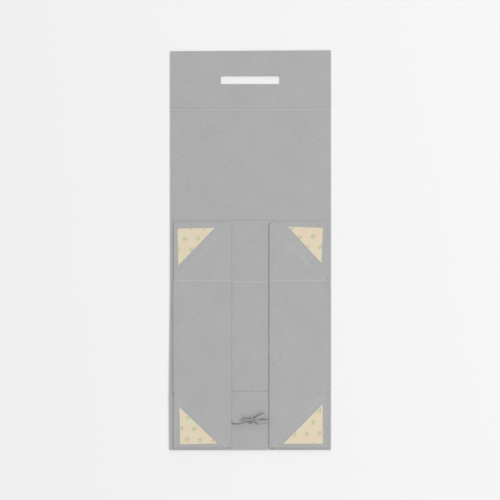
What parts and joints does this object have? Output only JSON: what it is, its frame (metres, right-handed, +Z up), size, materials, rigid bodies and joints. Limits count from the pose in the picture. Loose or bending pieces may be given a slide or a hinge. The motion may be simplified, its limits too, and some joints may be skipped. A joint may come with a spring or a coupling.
{
  "type": "collapsible rigid storage box",
  "caption": "Flat-packed rigid box of wrapped greyboard with folding gusseted sides, a hinged lid, a closure flap with a hand slot, adhesive corners and a ribbon tied in a bow.",
  "frame": {"origin": "centre of the base panel's underside", "axes": "+Y from the front wall to the closure flap, across the row of panels; +Z up from the table, out of the inner faces; +X to the right seen from above with the flap away"},
  "size_m": [0.22, 0.5462, 0.0082],
  "materials": {
    "case_paper": "matt grey paper wrapped over greyboard",
    "side_paper": "matt grey paper wrapped over thin board",
    "adhesive": "thin double-sided tape",
    "release_liner": "smooth silicone-coated cream paper with small slanted dashes",
    "ribbon": "narrow grey satin ribbon"
  },
  "bodies": {
    "base": {"base_panel": "case_paper"},
    "back_wall_body": {"back_wall": "case_paper", "back_left_fixed_gusset": "side_paper", "back_left_adhesive": "adhesive", "back_left_liner": "release_liner", "back_right_fixed_gusset": "side_paper", "back_right_adhesive": "adhesive", "back_right_liner": "release_liner"},
    "front_wall_body": {"front_wall": "case_paper", "ribbon_bow": "ribbon", "front_left_fixed_gusset": "side_paper", "front_left_adhesive": "adhesive", "front_left_liner": "release_liner", "front_right_fixed_gusset": "side_paper", "front_right_adhesive": "adhesive", "front_right_liner": "release_liner"},
    "lid_body": {"lid_panel": "case_paper"},
    "flap_body": {"closure_flap": "case_paper"},
    "left_side_body": {"left_side_wall": "side_paper"},
    "right_side_body": {"right_side_wall": "side_paper"},
    "back_left_gusset_body": {"back_left_folding_gusset": "side_paper"},
    "back_right_gusset_body": {"back_right_folding_gusset": "side_paper"},
    "front_left_gusset_body": {"front_left_folding_gusset": "side_paper"},
    "front_right_gusset_body": {"front_right_folding_gusset": "side_paper"}
  },
  "joints": [
    {"name": "walls_fold", "type": "hinge", "parent": "base", "child": "back_wall_body", "pos_m": [0, 0.075, 0], "axis": [1, 0, 0], "range_deg": [0, 90]},
    {"name": "front_wall_fold", "type": "hinge", "parent": "base", "child": "front_wall_body", "pos_m": [0, -0.075, 0], "axis": [-1, 0, 0], "range_deg": [0, 90]},
    {"name": "left_side_fold", "type": "hinge", "parent": "base", "child": "left_side_body", "pos_m": [-0.1055, 0, 0.0022], "axis": [0, -1, 0], "range_deg": [0, 90]},
    {"name": "right_side_fold", "type": "hinge", "parent": "base", "child": "right_side_body", "pos_m": [0.1055, 0, 0.0022], "axis": [0, 1, 0], "range_deg": [0, 90]},
    {"name": "back_right_gusset_fold", "type": "hinge", "parent": "back_wall_body", "child": "back_right_gusset_body", "pos_m": [0.1055, 0.075, 0.0036], "axis": [-0.7071, 0.7071, 0], "range_deg": [0, 180]},
    {"name": "back_left_gusset_fold", "type": "hinge", "parent": "back_wall_body", "child": "back_left_gusset_body", "pos_m": [-0.1055, 0.075, 0.0036], "axis": [-0.7071, -0.7071, 0], "range_deg": [0, 180]},
    {"name": "front_right_gusset_fold", "type": "hinge", "parent": "front_wall_body", "child": "front_right_gusset_body", "pos_m": [0.1055, -0.075, 0.0036], "axis": [0.7071, 0.7071, 0], "range_deg": [0, 180]},
    {"name": "front_left_gusset_fold", "type": "hinge", "parent": "front_wall_body", "child": "front_left_gusset_body", "pos_m": [-0.1055, -0.075, 0.0036], "axis": [0.7071, -0.7071, 0], "range_deg": [0, 180]},
    {"name": "lid_fold", "type": "hinge", "parent": "back_wall_body", "child": "lid_body", "pos_m": [0, 0.159, 0], "axis": [1, 0, 0], "range_deg": [0, 90]},
    {"name": "closure_flap_fold", "type": "hinge", "parent": "lid_body", "child": "flap_body", "pos_m": [0, 0.3112, 0], "axis": [1, 0, 0], "range_deg": [0, 90]}
  ],
  "couplings": [
    {"joint": "front_wall_fold", "follows": "walls_fold", "ratio": 1},
    {"joint": "left_side_fold", "follows": "walls_fold", "ratio": 1},
    {"joint": "right_side_fold", "follows": "walls_fold", "ratio": 1},
    {"joint": "back_right_gusset_fold", "follows": "walls_fold", "ratio": 2},
    {"joint": "back_left_gusset_fold", "follows": "walls_fold", "ratio": 2},
    {"joint": "front_right_gusset_fold", "follows": "walls_fold", "ratio": 2},
    {"joint": "front_left_gusset_fold", "follows": "walls_fold", "ratio": 2}
  ]
}
